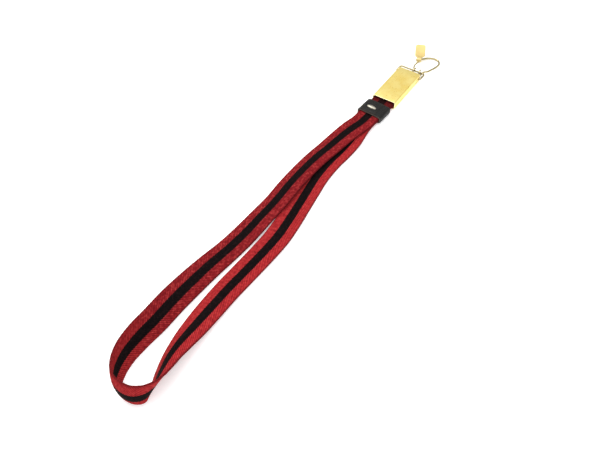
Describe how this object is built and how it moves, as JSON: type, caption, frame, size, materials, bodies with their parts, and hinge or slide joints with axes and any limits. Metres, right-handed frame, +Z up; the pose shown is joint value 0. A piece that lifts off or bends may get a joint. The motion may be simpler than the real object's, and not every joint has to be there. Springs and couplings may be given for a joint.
{
  "type": "saxophone neck strap",
  "caption": "Neck strap of striped woven webbing with a leather keeper, a folded gold sheet buckle and a wire bail carrying a gated hook.",
  "frame": {"origin": "middle of the overall box at the surface the strap lies on", "axes": "+X runs from the neck loop to the hook, +Z up, +Y across the strap"},
  "size_m": [0.5324, 0.0591, 0.0259],
  "materials": {
    "striped_webbing": "woven, deep red with a black middle stripe",
    "gold_sheet": "satin gold plate",
    "gold_wire": "polished gold plate",
    "gold_tab": "satin gold plate",
    "lock_steel": "plain steel",
    "tip_brass": "plain",
    "black_thread": "thread",
    "black_leather": "smooth black",
    "nickel_rivet": "polished, warm"
  },
  "bodies": {
    "strap": {"webbing": "striped_webbing", "buckle_sleeve": "gold_sheet", "anchor_bar": "lock_steel", "tail_tip": "tip_brass", "end_stitching": "black_thread"},
    "bail": {"bail": "gold_wire"},
    "hook": {"hook_wire": "gold_wire"},
    "gate": {"gate_wire": "gold_wire", "gate_tab": "gold_tab"},
    "keeper": {"keeper_band": "black_leather", "keeper_rivet": "nickel_rivet", "rivet_burr": "nickel_rivet"},
    "lock": {"lock_bar": "lock_steel"}
  },
  "joints": [
    {"name": "bail_swing", "type": "hinge", "parent": "strap", "child": "bail", "pos_m": [0.2114, -0.00289, 0.0045], "axis": [0, -1, 0], "range_deg": [-80, 80]},
    {"name": "hook_swing", "type": "hinge", "parent": "bail", "child": "hook", "pos_m": [0.2236, -0.00289, 0.0045], "axis": [0, -1, 0], "range_deg": [-55, 55]},
    {"name": "gate_open", "type": "hinge", "parent": "hook", "child": "gate", "pos_m": [0.2236, -0.00289, 0.0045], "axis": [0, -1, 0], "range_deg": [0, 40]},
    {"name": "keeper_slide", "type": "slide", "parent": "strap", "child": "keeper", "axis": [-0.9986, 0.0523, 0], "range_m": [-0.005, 0.012]},
    {"name": "lock_slide", "type": "slide", "parent": "strap", "child": "lock", "axis": [1, 0, 0], "range_m": [-0.002, 0.003]}
  ]
}
